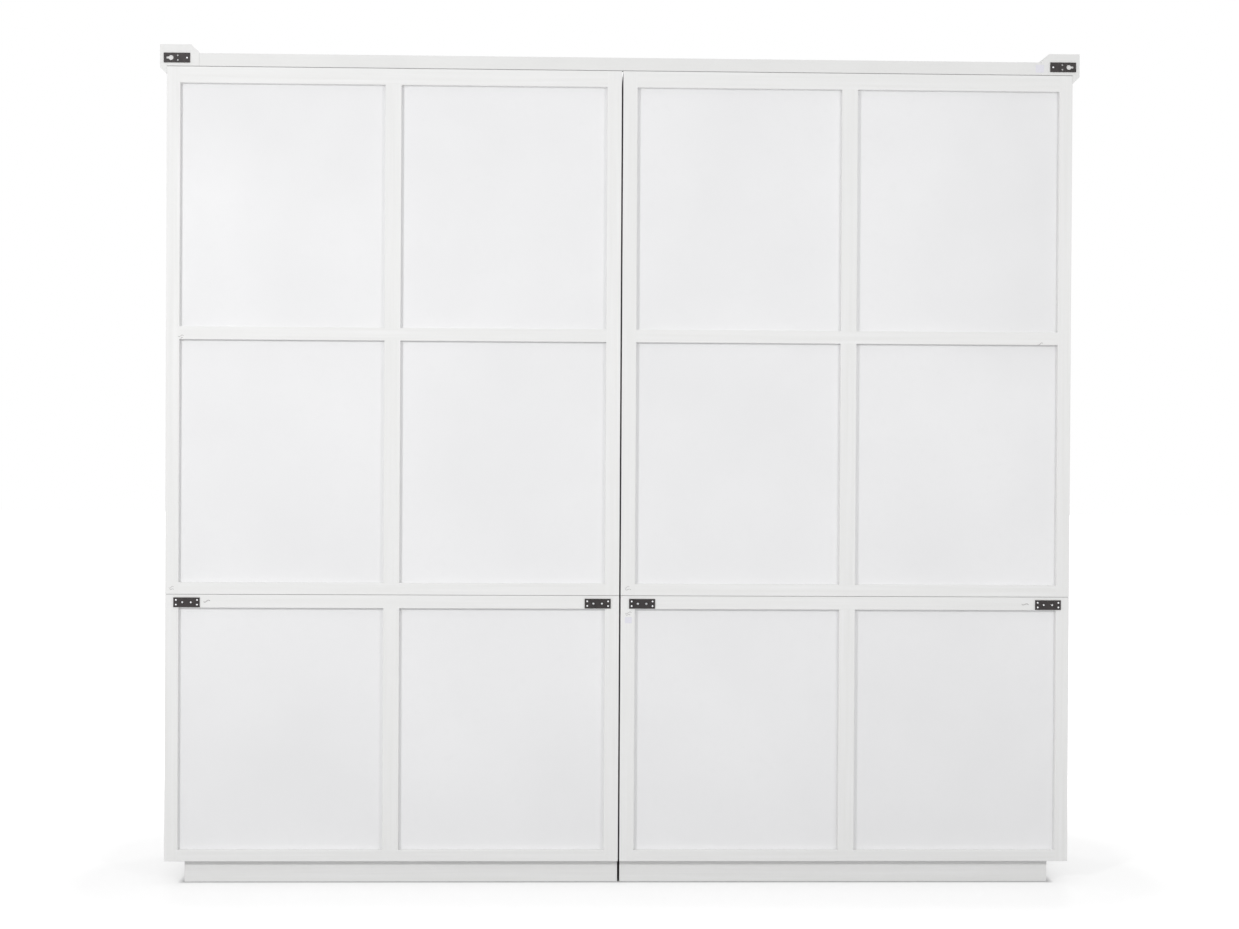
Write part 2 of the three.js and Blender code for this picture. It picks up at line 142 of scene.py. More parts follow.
def giveBump(tree, shader, height, millimetres, strength):
    links = {"Height": height, "Distance": millimetres / 1000, "Strength": strength}
    plug(tree, shader, {"Normal": addNode(tree, "ShaderNodeBump", links).outputs["Normal"]})


# materials

def makePaintedPine(look):
    # Eggshell paint brushed on pine boards: the grain shows through as faint long streaks,
    # and each board takes the paint a little differently.
    material, tree, shader, place = newMaterial("brushed_white_eggshell_on_pine")
    wide, long = perMetre(look["grainWidth"]), perMetre(look["grainLength"])
    across, upright, inward = (
        addNode(tree, "ShaderNodeMapping", {"Vector": place, "Scale": scale}).outputs[0]
        for scale in ((long, wide, wide), (wide, wide, long), (wide, long, wide))
    )
    grainUp, grainIn, tone = (
        addNode(tree, "ShaderNodeAttribute", attribute_name=name).outputs["Fac"]
        for name in ("grainUp", "grainIn", "boardTone")
    )
    sides = {0: grainUp, 4: across, 5: upright}
    along = addNode(tree, "ShaderNodeMix", sides, data_type="VECTOR").outputs[1]
    ways = {0: grainIn, 4: along, 5: inward}
    along = addNode(tree, "ShaderNodeMix", ways, data_type="VECTOR").outputs[1]
    streaks = {"Vector": along, "Scale": 1, "Detail": 4, "Roughness": 0.6}
    grain = addNode(tree, "ShaderNodeTexNoise", streaks).outputs["Fac"]
    mottle = noiseAt(tree, place, look["mottle"], 3)
    painted = mixColours(tree, spread(tree, grain), look["colour"], look["grain"])
    toned = mixColours(tree, tone, painted, look["board"])
    worn = mixColours(tree, spread(tree, mottle, 0, 0.5), toned, look["dust"])
    plug(tree, shader, {"Base Color": worn, "Roughness": spread(tree, grain, *look["roughness"])})
    giveBump(tree, shader, grain, look["grainDepth"], 0.6)
    return material


def makeSprayedBoard(look):
    # Spray lacquered fibreboard: flat and even, with a fine orange peel that only the gloss shows.
    material, tree, shader, place = newMaterial("sprayed_white_lacquer_on_fibreboard")
    mottle = noiseAt(tree, place, look["mottle"], 3)
    specks = noiseAt(tree, place, look["specks"], 2)
    base = mixColours(tree, spread(tree, mottle), look["colour"], look["dust"])
    dusty = mixColours(tree, spread(tree, specks, 0, 0.3, 0.55, 0.75), base, look["dust"])
    plug(tree, shader, {"Base Color": dusty, "Roughness": spread(tree, mottle, *look["roughness"])})
    giveBump(tree, shader, noiseAt(tree, place, look["peel"], 1), look["peelDepth"], 0.5)
    return material


def makeSteel(name, look):
    # Sheet or bar steel under its coating: the metal's own sheen, slightly cloudy and scuffed.
    material, tree, shader, place = newMaterial(name)
    cloud = noiseAt(tree, place, look["cloud"], 3)
    scuff = noiseAt(tree, place, look["scuff"], 4, 0.65)
    base = mixColours(tree, spread(tree, cloud), look["colour"], look["dull"])
    plug(tree, shader, {"Base Color": base, "Roughness": spread(tree, scuff, *look["roughness"])})
    plug(tree, shader, {"Metallic": look["metallic"]})
    giveBump(tree, shader, scuff, look["depth"], 0.4)
    return material


def makeBrushedTube(look):
    # Drawn steel tube, brushed along its length and zinc plated: soft streaks in the highlight.
    material, tree, shader, place = newMaterial("brushed_zinc_plated_steel_tube")
    streaks = grainAlong(tree, place, look["streakLength"], look["streakWidth"], Detail=3)
    cloud = noiseAt(tree, place, look["cloud"])
    base = mixColours(tree, spread(tree, cloud), look["colour"], look["dull"])
    plug(tree, shader, {"Base Color": base, "Roughness": spread(tree, streaks, *look["roughness"])})
    plug(tree, shader, {"Metallic": 1})
    giveBump(tree, shader, streaks, look["depth"], 0.3)
    return material


def makeSlatWood(look):
    # Planed birch slats, unvarnished: pale, with fine long grain and little shine.
    material, tree, shader, place = newMaterial("planed_birch_slat")
    grain = grainAlong(tree, place, *look["grainSize"], Detail=5, Distortion=0.6)
    pore = grainAlong(tree, place, *look["poreSize"], Detail=2)
    base = mixColours(tree, spread(tree, grain), look["colour"], look["grain"])
    dark = mixColours(tree, spread(tree, pore, 0, 0.35), base, look["pore"])
    plug(tree, shader, {"Base Color": dark, "Roughness": spread(tree, grain, *look["roughness"])})
    giveBump(tree, shader, pore, look["poreDepth"], 0.5)
    return material


def makeTicking(look):
    # Woven cotton ticking: matt, with crossing threads; the threads are drawn at twice their real
    # spacing so that they show.
    material, tree, shader, place = newMaterial("woven_cotton_ticking")
    weave = []
    for axis in ("X", "Z"):
        links = {"Vector": place, "Scale": bandScale(look["thread"]), "Distortion": 0.4}
        wave = addNode(tree, "ShaderNodeTexWave", links, bands_direction=axis, wave_type="BANDS")
        weave.append(wave.outputs["Fac"])
    crossed = {0: weave[0], 1: weave[1]}
    cloth = addNode(tree, "ShaderNodeMath", crossed, operation="MULTIPLY").outputs[0]
    slub = spread(tree, noiseAt(tree, place, look["slub"], 4))
    base = mixColours(tree, slub, look["colour"], look["slubColour"])
    # the gaps between the threads are darkened with painted shade
    woven = mixColours(tree, spread(tree, cloth, 0.35, 0, 0, 1), base, look["shadow"])
    plug(tree, shader, {"Base Color": woven, "Roughness": look["roughness"]})
    plug(tree, shader, {"Sheen Weight": look["sheen"], "Sheen Roughness": 0.5})
    giveBump(tree, shader, cloth, look["threadDepth"], 0.6)
    return material


def makeWebbing(look):
    # Woven polyester webbing: fine ribs across the strap and a faint sheen.
    material, tree, shader, place = newMaterial("woven_polyester_webbing")
    links = {"Vector": place, "Scale": bandScale(look["rib"]), "Distortion": 0.3}
    wave = addNode(tree, "ShaderNodeTexWave", links, bands_direction="Z", wave_type="BANDS")
    rib = wave.outputs["Fac"]
    fuzz = noiseAt(tree, place, look["fuzzSize"], 3)
    # the hollows between the ribs are darkened with painted shade
    base = mixColours(tree, rib, look["shadow"], look["colour"])
    worn = mixColours(tree, spread(tree, fuzz, 0, 0.3), base, look["fuzz"])
    plug(tree, shader, {"Base Color": worn, "Roughness": look["roughness"]})
    plug(tree, shader, {"Sheen Weight": look["sheen"]})
    giveBump(tree, shader, rib, look["ribDepth"], 0.6)
    return material


def makePlain(name, colour, shade, roughness, grit):
    # Small printed, moulded or pencilled things: one tone with a little grit in it.
    material, tree, shader, place = newMaterial(name)
    speck = noiseAt(tree, place, grit, 3)
    base = mixColours(tree, spread(tree, speck), colour, shade)
    shine = spread(tree, speck, roughness - 0.06, roughness + 0.06)
    plug(tree, shader, {"Base Color": base, "Roughness": shine})
    giveBump(tree, shader, speck, 0.08, 0.3)
    return material


finish = {
    "pine": makePaintedPine({
        "colour": "#f2f2f2", "grain": "#ebebea", "board": "#e5e5e4", "dust": "#ececeb",
        "grainWidth": 9, "grainLength": 420, "mottle": 160, "grainDepth": 0.35,
        "roughness": (0.46, 0.6),
    }),
    "board": makeSprayedBoard({
        "colour": "#f0f0f1", "dust": "#ececed", "mottle": 380, "specks": 22,
        "peel": 3, "peelDepth": 0.05, "roughness": (0.48, 0.6),
    }),
    "plate": makeSteel("black_oxide_steel_plate", {
        "colour": "#211d1e", "dull": "#302b2b", "cloud": 9, "scuff": 2.5, "metallic": 0.35,
        "roughness": (0.4, 0.6), "depth": 0.15,
    }),
    "screw": makeSteel("zinc_plated_steel_screw", {
        "colour": "#e4e4e6", "dull": "#c9cacd", "cloud": 3, "scuff": 1.2, "metallic": 1,
        "roughness": (0.22, 0.38), "depth": 0.05,
    }),
    "bedSteel": makeSteel("grey_powder_coated_steel", {
        "colour": "#8b8e91", "dull": "#86898c", "cloud": 60, "scuff": 1.4, "metallic": 0,
        "roughness": (0.48, 0.62), "depth": 0.12,
    }),
    "strutSteel": makeSteel("zinc_plated_pressed_steel", {
        "colour": "#b9bbbe", "dull": "#adafb3", "cloud": 40, "scuff": 4, "metallic": 1,
        "roughness": (0.3, 0.46), "depth": 0.06,
    }),
    "cylinder": makeSteel("black_painted_strut_cylinder", {
        "colour": "#19191b", "dull": "#222225", "cloud": 40, "scuff": 3, "metallic": 0,
        "roughness": (0.22, 0.34), "depth": 0.03,
    }),
    "rod": makeSteel("ground_hard_chrome_rod", {
        "colour": "#d8d9dc", "dull": "#cbccd0", "cloud": 30, "scuff": 2, "metallic": 1,
        "roughness": (0.08, 0.16), "depth": 0.01,
    }),
    "tube": makeBrushedTube({
        "colour": "#c0c1c4", "dull": "#b5b7ba", "cloud": 50, "streakLength": 90,
        "streakWidth": 1.2, "roughness": (0.24, 0.42), "depth": 0.05,
    }),
    "slat": makeSlatWood({
        "colour": "#e6d2b0", "grain": "#d6bb92", "pore": "#bd9c72", "grainSize": (220, 7),
        "poreSize": (30, 1), "poreDepth": 0.15, "roughness": (0.5, 0.68),
    }),
    "ticking": makeTicking({
        "colour": "#f3f2f0", "slubColour": "#eeece8", "shadow": "#dddad4", "thread": 1.6,
        "slub": 7, "threadDepth": 0.25, "roughness": 0.92, "sheen": 0.25,
    }),
    "piping": makePlain("twisted_cotton_piping", "#d9d6cd", "#c6c2b8", 0.85, 2),
    "webbing": makeWebbing({
        "colour": "#4a4b4e", "shadow": "#2c2d2f", "fuzz": "#5c5d60", "rib": 1.6,
        "ribDepth": 0.3, "fuzzSize": 1.5, "roughness": 0.75, "sheen": 0.2,
    }),
    "paper": makePlain("blank_coated_paper_label", "#e8e7ee", "#e1e0e9", 0.55, 3),
    "pencil": makePlain("soft_pencil_mark", "#9f9c9c", "#d2d1d1", 0.8, 2.2),
    "rubber": makePlain("moulded_black_rubber", "#242425", "#2f2f30", 0.7, 1.5),
}
print("materials made:", len(finish))


# making meshes

def keepPiece(name, mesh, coat, body, replaced=(), slot=None, smoothAngle=None):
    mesh.name = name
    mesh.materials.clear()
    mesh.materials.append(finish[coat])
    if smoothAngle:
        mesh.shade_smooth()
        mesh.set_sharp_from_angle(angle=math.radians(smoothAngle))
    piece = newObject(name, mesh)
    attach(piece, body)
    if replaced:
        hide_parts(*replaced)
    return piece


def meshFrom(shape, name):
    mesh = bpy.data.meshes.new(name)
    shape.to_mesh(mesh)
    shape.free()
    return mesh


def board(low, high, upright=1.0):
    return Vector(low), Vector(high), upright


def boardMesh(name, boards, edge, tone=None):
    # boards with eased edges; each carries the direction of its grain and its own tone
    shape = bmesh.new()
    grainUp = shape.verts.layers.float.new("grainUp")
    boardTone = shape.verts.layers.float.new("boardTone")
    tones = random.Random(name)
    for low, high, upright in boards:
        corners = bmesh.ops.create_cube(shape, size=1)["verts"]
        size, middle = high - low, (high + low) / 2
        for corner in corners:
            corner.co = Vector(c * s for c, s in zip(corner.co, size)) + middle
        edges = list({line for corner in corners for line in corner.link_edges})
        eased = bmesh.ops.bevel(
            shape, geom=edges, offset=edge, segments=2, profile=0.5, affect="EDGES"
        )
        own = tones.uniform(0, 0.25) if tone is None else tone
        for corner in eased["verts"]:
            corner[grainUp] = upright
            corner[boardTone] = own
    return meshFrom(shape, name)


def easedCopy(node, edge, segments=2, angle=40, lift=None, isReturn=None, tone=0.0):
    # a CAD node's copy with its doubles merged, its flat faces whole and its edges eased; lift
    # raises what lies at one height, to open a hairline under it; isReturn tells the faces whose
    # grain runs inward
    shape = bmesh.new()
    shape.from_mesh(nodes[node].data)
    bmesh.ops.remove_doubles(shape, verts=shape.verts, dist=1e-5)
    for vertex in shape.verts:
        if lift and abs(vertex.co.z - lift[0]) < 1e-4:
            vertex.co.z += lift[1]
    if isReturn:
        for face in shape.faces:
            face.material_index = int(isReturn(face.calc_center_median()))
    limit, mitres = math.radians(1), {"MATERIAL"}
    bmesh.ops.dissolve_limit(
        shape, angle_limit=limit, verts=shape.verts, edges=shape.edges, delimit=mitres
    )
    sharp = [e for e in shape.edges if e.is_manifold and e.calc_face_angle() > math.radians(angle)]
    bmesh.ops.bevel(
        shape, geom=sharp, offset=edge, segments=segments, profile=0.5, affect="EDGES",
        clamp_overlap=True,
    )
    returns = [int(face.material_index) for face in shape.faces]
    for face in shape.faces:
        face.material_index = 0
    mesh = meshFrom(shape, node)
    if isReturn:
        grain = mesh.attributes.new("grainIn", "FLOAT", "FACE")
        grain.data.foreach_set("value", [float(value) for value in returns])
        boardTone = mesh.attributes.new("boardTone", "FLOAT", "FACE")
        boardTone.data.foreach_set("value", [tone] * len(returns))
    return mesh


def keepBoards(node, boards, edge, body):
    mesh = boardMesh(f"{node}_boards", boards, edge)
    keepPiece(f"{node}_boards", mesh, "pine", body, [node], "white_paint")


def keepEased(node, edge, coat, body, slot, segments=2, angle=40, smoothAngle=35):
    mesh = easedCopy(node, edge, segments, angle)
    keepPiece(f"{node}_eased", mesh, coat, body, [node], slot, smoothAngle)


def circleSection(radius, count):
    turns = [2 * math.pi * at / count for at in range(count)]
    return [(radius * math.cos(turn), radius * math.sin(turn)) for turn in turns]


def turned(profile, place, closed=False, segments=40, shape=None):
    # profile of (radius, height) spun round Z, then put in place; closed for a ring
    shape = shape or bmesh.new()
    rings = []
    for radius, height in profile:
        if radius < 1e-7:
            rings.append([shape.verts.new(place @ Vector((0, 0, height)))])
            continue
        circle = circleSection(radius, segments)
        rings.append([shape.verts.new(place @ Vector((x, y, height))) for x, y in circle])
    pairs = list(zip(rings, rings[1:]))
    if closed:
        pairs.append((rings[-1], rings[0]))
    for near, far in pairs:
        for at in range(segments):
            after = (at + 1) % segments
            spots = (near, at), (near, after), (far, after), (far, at)
            corners = [ring[spot % len(ring)] for ring, spot in spots]
            shape.faces.new(list(dict.fromkeys(corners)))
    return shape


def outward(shape, name):
    bmesh.ops.recalc_face_normals(shape, faces=shape.faces)
    return meshFrom(shape, name)


def sweep(path, section, shape=None, loop=False, up=Vector((0, 1, 0))):
    # section of (across, up) points carried along the path, with flat ends unless it is a loop
    shape = shape or bmesh.new()
    rings = []
    last = len(path) - 1
    for at, point in enumerate(path):
        before = path[at - 1] if at or loop else path[0]
        after = path[(at + 1) % len(path)] if at < last or loop else path[last]
        ahead = (after - before).normalized()
        across = ahead.cross(up).normalized()
        over = across.cross(ahead)
        rings.append([shape.verts.new(point + across * a + over * b) for a, b in section])
    count = len(section)
    pairs = list(zip(rings, rings[1:]))
    if loop:
        pairs.append((rings[-1], rings[0]))
    for near, far in pairs:
        for at in range(count):
            after = (at + 1) % count
            shape.faces.new((near[at], near[after], far[after], far[at]))
    if not loop:
        shape.faces.new(rings[0][::-1])
        shape.faces.new(rings[-1])
    return shape


def plainMesh(piece):
    # the piece with its modifiers as a mesh of its own
    seen = bpy.context.evaluated_depsgraph_get()
    seen.update()
    return bpy.data.meshes.new_from_object(piece.evaluated_get(seen), depsgraph=seen)


# geometry nodes: one object repeated on points, for screws and slats

def makeRepeatTree(name):
    tree = bpy.data.node_groups.new(name, "GeometryNodeTree")
    sockets = {
        "Points": "NodeSocketGeometry", "Repeated": "NodeSocketObject", "Size": "NodeSocketFloat",
        "Random Turn": "NodeSocketFloat", "Seed": "NodeSocketInt", "Finish": "NodeSocketMaterial",
    }
    for label, kind in sockets.items():
        tree.interface.new_socket(label, in_out="INPUT", socket_type=kind)
    tree.interface.new_socket("Result", in_out="OUTPUT", socket_type="NodeSocketGeometry")
    given = addNode(tree, "NodeGroupInput").outputs
    repeated = addNode(tree, "GeometryNodeObjectInfo", {"Object": given["Repeated"]})
    limits = {2: 0.0, 3: given["Random Turn"], "Seed": given["Seed"]}
    turn = addNode(tree, "FunctionNodeRandomValue", limits, data_type="FLOAT").outputs[1]
    stored = "GeometryNodeInputNamedAttribute"
    facing = addNode(tree, stored, {"Name": "facing"}, data_type="FLOAT_VECTOR")
    spun = addNode(tree, "ShaderNodeCombineXYZ", {"Z": turn}).outputs[0]
    aimed = {"Rotation": facing.outputs[0], "Rotate By": spun}
    rotation = addNode(tree, "FunctionNodeRotateRotation", aimed, rotation_space="LOCAL").outputs[0]
    placed = {
        "Points": given["Points"], "Instance": repeated.outputs["Geometry"],
        "Rotation": rotation, "Scale": given["Size"],
    }
    instances = addNode(tree, "GeometryNodeInstanceOnPoints", placed).outputs[0]
    real = addNode(tree, "GeometryNodeRealizeInstances", {0: instances}).outputs[0]
    coat = {"Geometry": real, "Material": given["Finish"]}
    coated = addNode(tree, "GeometryNodeSetMaterial", coat)
    addNode(tree, "NodeGroupOutput", {0: coated.outputs[0]})
    return tree


repeatTree = makeRepeatTree("repeat_on_points")


def repeatOn(
    name, points, template, coat, body, facing=(0, 0, 0), size=1.0, randomTurn=0.0, **kept
):
    start = bpy.data.meshes.new(name)
    start.from_pydata([tuple(point) for point in points], [], [])
    aim = start.attributes.new("facing", "FLOAT_VECTOR", "POINT")
    for value in aim.data:
        value.vector = [math.radians(turn) for turn in facing]
    host = newObject(name, start)
    modifier = host.modifiers.new("repeat", "NODES")
    modifier.node_group = repeatTree
    given = {
        "Repeated": template, "Size": size, "Random Turn": randomTurn, "Seed": 7,
        "Finish": finish[coat],
    }
    for socket in repeatTree.interface.items_tree:
        if socket.in_out == "INPUT" and socket.name in given:
            modifier[socket.identifier] = given[socket.name]
    mesh = plainMesh(host)
    bpy.data.objects.remove(host)
    keepPiece(name, mesh, coat, body, **kept)


# pan head screw, 1 m across so that its size is its diameter, head up +Z from z = 0
screwHead = {
    "rim": 0.06, "dome": 0.28, "domeSteps": 5, "recess": 0.34, "recessWidth": 0.11,
    "recessDepth": 0.16, "recessProud": 0.004, "randomTurn": 6.28,
}


def makeScrewHead(look):
    rise, rim, steps = look["dome"], look["rim"], look["domeSteps"]
    profile = [(0.5, 0.0), (0.5, rim)]
    for step in range(1, steps):
        turn = math.pi / 2 * step / steps
        profile.append((0.5 * math.cos(turn), rim + (rise - rim) * math.sin(turn)))
    shape = turned([*profile, (0, rise)], Matrix.Identity(4), segments=20)
    long, wide, deep = look["recess"], look["recessWidth"], look["recessDepth"]
    # the driver's cross: two tapered troughs through the dome, their rims just proud of it
    for turn in (0, math.pi / 2):
        bar = [(-long, -wide), (long, -wide), (long, wide), (-long, wide)]
        spin = Matrix.Rotation(turn, 4, "Z")
        proud = rise + look["recessProud"]
        top = [shape.verts.new(spin @ Vector((x / 2, y / 2, proud))) for x, y in bar]
        floor = [shape.verts.new(spin @ Vector((x / 3, y / 3, rise - deep))) for x, y in bar]
        for at in range(4):
            after = (at + 1) % 4
            shape.faces.new((top[at], top[after], floor[after], floor[at]))
        shape.faces.new(floor)
    mesh = meshFrom(shape, "screw")
    mesh.shade_smooth()
    mesh.set_sharp_from_angle(angle=math.radians(35))
    return mesh


screwTemplate = newObject("screw_template", makeScrewHead(screwHead))
toWall, toRoom = (-90, 0, 0), (90, 0, 0)  # the way a screw head faces


def addScrews(name, points, body, facing, diameter):
    repeatOn(
        name, points, screwTemplate, "screw", body, facing, diameter,
        screwHead["randomTurn"], slot="plain_steel", smoothAngle=35,
    )


print("makers ready")


# cabinet: framed backs, panels, sides, plinths and crown

backFrame = {
    "outerStile": 0.034, "innerStile": 0.037, "middleStile": 0.041, "middleOffset": 0.004,
    "joint": {"into": 0.0015, "step": 0.00008}, "edge": 0.0009, "seam": 0.0004,
    "rails": {"lower": (0.029, 0.034), "upper": (0.030, 0.042)},  # the bottom and the top one
    "middleRail": 0.033,
}


def framedBoards(low, high, stiles, rails, joint):
    # outer stiles run full height, rails between them, short middle stiles between the rails; ends
    # are let in a little under the board they meet, so that paint seems to fill the joint
    first, *middle, last = stiles
    y0, y1, into, step = low.y, high.y, joint["into"], joint["step"]
    made = [board((a, y0, low.z), (b, y1, high.z)) for a, b in (first, last)]
    for z0, z1 in rails:
        start = first[1] - into, y0 + step, z0
        made.append(board(start, (last[0] + into, y1 - step, z1), 0.0))
    for (_, below), (above, _) in zip(rails, rails[1:]):
        for a, b in middle:
            start = a, y0 + 2 * step, below - into
            made.append(board(start, (b, y1 - 2 * step, above + into)))
    return made


def makeBackFrames(column, side):
    look = backFrame
    for section, (bottomRail, topRail) in look["rails"].items():
        node = f"{column}_{section}_back_frame"
        low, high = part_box(node)
        low.z -= look["seam"] if section == "upper" else 0
        high.z += look["seam"] if section == "lower" else 0
        centre = (low.x + high.x) / 2 + side * look["middleOffset"]
        inset = look["outerStile"], look["innerStile"]
        atLow, atHigh = inset if side < 0 else inset[::-1]
        half = look["middleStile"] / 2
        stiles = [(low.x, low.x + atLow), (centre - half, centre + half), (high.x - atHigh, high.x)]
        rails = [(low.z, low.z + bottomRail), (high.z - topRail, high.z)]
        if section == "upper":
            middle, halfRail = (rails[0][1] + rails[1][0]) / 2, look["middleRail"] / 2
            rails.insert(1, (middle - halfRail, middle + halfRail))
        boards = framedBoards(low, high, stiles, rails, look["joint"])
        keepBoards(node, boards, look["edge"], "cabinet")


def makePlainBoard(node, body, coat, upright=1.0, edge=0.001):
    mesh = boardMesh(f"{node}_board", [board(*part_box(node), upright)], edge)
    keepPiece(f"{node}_board", mesh, coat, body, [node], "white_paint")


plinthLook = {"thickness": 0.018, "joint": 0.0003, "edge": 0.001}


def makePlinth(column):
    node = f"{column}_plinth"
    low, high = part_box(node)
    thick, joint = plinthLook["thickness"], plinthLook["joint"]
    boards = []
    for y0, y1 in ((low.y, low.y + thick), (high.y - thick, high.y)):
        boards.append(board((low.x, y0, low.z), (high.x, y1, high.z), 0.0))
    y0, y1 = low.y + thick + joint, high.y - thick - joint
    for x0, x1 in ((low.x, low.x + thick), (high.x - thick, high.x)):
        boards.append(board((x0, y0, low.z), (x1, y1, high.z), 0.0))
    keepBoards(node, boards, plinthLook["edge"], "cabinet")


def makeCabinetColumn(column, side):
    makeBackFrames(column, side)
    makePlinth(column)
    for section in ("lower", "upper"):
        makePlainBoard(f"{column}_{section}_back_panel", "cabinet", "board")
        for place in ("outer", "inner"):
            makePlainBoard(f"{column}_{section}_{place}_side", "cabinet", "board")
    for node in ("bottom_board", "top_board", "kick_board"):
        makePlainBoard(f"{column}_{node}", "cabinet", "board", upright=0.0)


crownLook = {"edge": 0.0013, "tone": 0.8, "railEdge": 0.0011, "railTone": 0.9, "hairline": 0.001}


def makeCrown():
    look, node, rail = crownLook, "crown_moulding", "crown_back_rail"
    (railLow, railHigh), (low, high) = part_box(rail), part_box(node)
    raised = board(railLow + Vector((0, 0, look["hairline"])), railHigh, 0.0)
    mesh = boardMesh(f"{rail}_board", [raised], look["railEdge"], look["railTone"])
    keepPiece(f"{rail}_board", mesh, "pine", "cabinet", [rail], "white_paint")
    crown = easedCopy(
        node, look["edge"], angle=30, lift=(railLow.z, look["hairline"]), tone=look["tone"],
        isReturn=lambda point: high.x - abs(point.x) < point.y - low.y,
    )
    keepPiece(f"{node}_eased", crown, "pine", "cabinet", [node], "white_paint")


for column, side in columns.items():
    makeCabinetColumn(column, side)
makePlainBoard("front_cover_strip", "cabinet", "pine")
makeCrown()
print("cabinet made")


# fixing plates with their screws, labels and pencil marks on the back

plateLook = {
    "edge": 0.0005, "screwInset": 0.0065, "screwDiameter": 0.0048, "headSink": 0.0006,
    "boltSpacing": 0.022, "boltSink": 0.0012, "keyholeScrew": 0.026,
}


def makePlates(column, side):
    look, screws = plateLook, []
    outer, inner, keyhole = (f"{column}_{kind}" for kind in (
        "outer_anchor_plate", "inner_anchor_plate", "keyhole_plate"))
    inset, half = look["screwInset"], look["boltSpacing"] / 2
    for node in (outer, inner, keyhole):
        keepEased(node, look["edge"], "plate", "cabinet", "dark_steel", 1, 30, 30)
        low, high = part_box(node)
        middle, face, deep = (low + high) / 2, high.y - look["headSink"], high.y - look["boltSink"]
        if node == keyhole:
            screws.append((middle.x - side * look["keyholeScrew"], face, middle.z))
            continue
        for x in (low.x + inset, high.x - inset):
            screws += [(x, face, z) for z in (low.z + inset, high.z - inset)]
        screws += [(middle.x + reach, deep, middle.z) for reach in (-half, half)]
    addScrews(f"{column}_plate_screws", screws, "cabinet", toWall, look["screwDiameter"])


labelLook = {"thickness": 0.0003, "edge": 0.0001}
tickLook = {"steps": 6, "wobble": 0.002, "proud": 0.00008, "halfDepth": 0.00005}
# centre across and height, then size, of each blank label and of each pencil tick with its tilt
labels = [((-0.022, 0.683), (0.018, 0.016)), ((-1.084, 2.1195), (0.022, 0.02))]
ticks = [((1.063, 0.7285), (0.017, 0.0022), 8), ((-1.055, 0.727), (0.018, 0.002), -6),
         ((1.132, 1.41), (0.014, 0.0014), 4), ((1.131, 1.404), (0.009, 0.0012), 24),
         ((-1.09, 1.405), (0.014, 0.0014), 12), ((1.154, 0.764), (0.012, 0.0012), 10),
         ((1.153, 0.759), (0.01, 0.0012), -14), ((-0.018, 0.768), (0.012, 0.0012), 12),
         ((-0.021, 0.762), (0.015, 0.0012), -8), ((-0.022, 0.702), (0.016, 0.0012), 5),
         ((-0.021, 0.697), (0.012, 0.0012), -10)]


def makeMarks():
    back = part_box("crown_back_rail")[1].y
    boards = []
    for (x, z), (wide, tall) in labels:
        low = (x - wide / 2, back, z - tall / 2)
        boards.append(board(low, (x + wide / 2, back + labelLook["thickness"], z + tall / 2)))
    mesh = boardMesh("blank_labels", boards, labelLook["edge"])
    keepPiece("blank_labels", mesh, "paper", "cabinet", slot="white_paint")
    look, shape = tickLook, bmesh.new()
    deep, steps = look["halfDepth"], look["steps"]
    for (x, z), (wide, tall), tilt in ticks:
        start = Vector((x, back + look["proud"], z))
        spin = Matrix.Rotation(math.radians(tilt), 4, "Y")
        path = []
        for at in range(steps + 1):
            stroke = Vector((wide * (at / steps - 0.5), 0, look["wobble"] * math.sin(at)))
            path.append(start + spin @ stroke)
        half = tall / 2
        sweep(path, [(-half, -deep), (half, -deep), (half, deep), (-half, deep)], shape)
    mesh = outward(shape, "pencil_ticks")
    keepPiece("pencil_ticks", mesh, "pencil", "cabinet", slot="dark_steel")


for column, side in columns.items():
    makePlates(column, side)
makeMarks()
print("plates and marks made")


# bed faces, folding fronts of two by three recessed panels

faceLook = {
    "stile": 0.072, "rail": 0.076, "rows": 3, "joint": {"into": 0.003, "step": 0.00015},
    "edge": 0.0015,
}


def makeFace(column):
    node, look = f"{column}_face_frame", faceLook
    low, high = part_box(node)
    centre, half = (low.x + high.x) / 2, look["stile"] / 2
    stiles = [
        (low.x, low.x + 2 * half), (centre - half, centre + half), (high.x - 2 * half, high.x),
    ]
    pitch = (high.z - low.z - look["rail"]) / look["rows"]
    starts = [low.z + row * pitch for row in range(look["rows"] + 1)]
    rails = [(start, start + look["rail"]) for start in starts]
    boards = framedBoards(low, high, stiles, rails, look["joint"])
    keepBoards(node, boards, look["edge"], f"{column}_bed")
    makePlainBoard(f"{column}_face_panel", f"{column}_bed", "board")


# steel bed frame and its slats

slatLook = {
    "count": 14, "width": 0.072, "thickness": 0.009, "ease": 0.0015, "bow": 0.0025,
    "batten": 0.040, "segments": 16, "endGap": 0.012, "lift": 0.0002, "frameEdge": 0.0016,
}
# the rubber holders above and below a slat's end: where each starts from the slat's edge
holderLook = {"under": -0.006, "over": 0.0005, "height": 0.0055, "depth": 0.0105, "edge": 0.001}


def makeSlat(length):
    look = slatLook
    half, wide = length / 2, look["width"] / 2
    path = []
    for at in range(look["segments"] + 1):
        along = at / look["segments"] * 2 - 1
        path.append(Vector((along * half, look["bow"] * (1 - along * along), 0)))
    deep, ease = look["thickness"], look["ease"]
    section = [
        (-wide + ease, 0), (wide - ease, 0), (wide, ease), (wide, deep - ease),
        (wide - ease, deep), (-wide + ease, deep), (-wide, deep - ease), (-wide, ease),
    ]
    return outward(sweep(path, section), "slat")


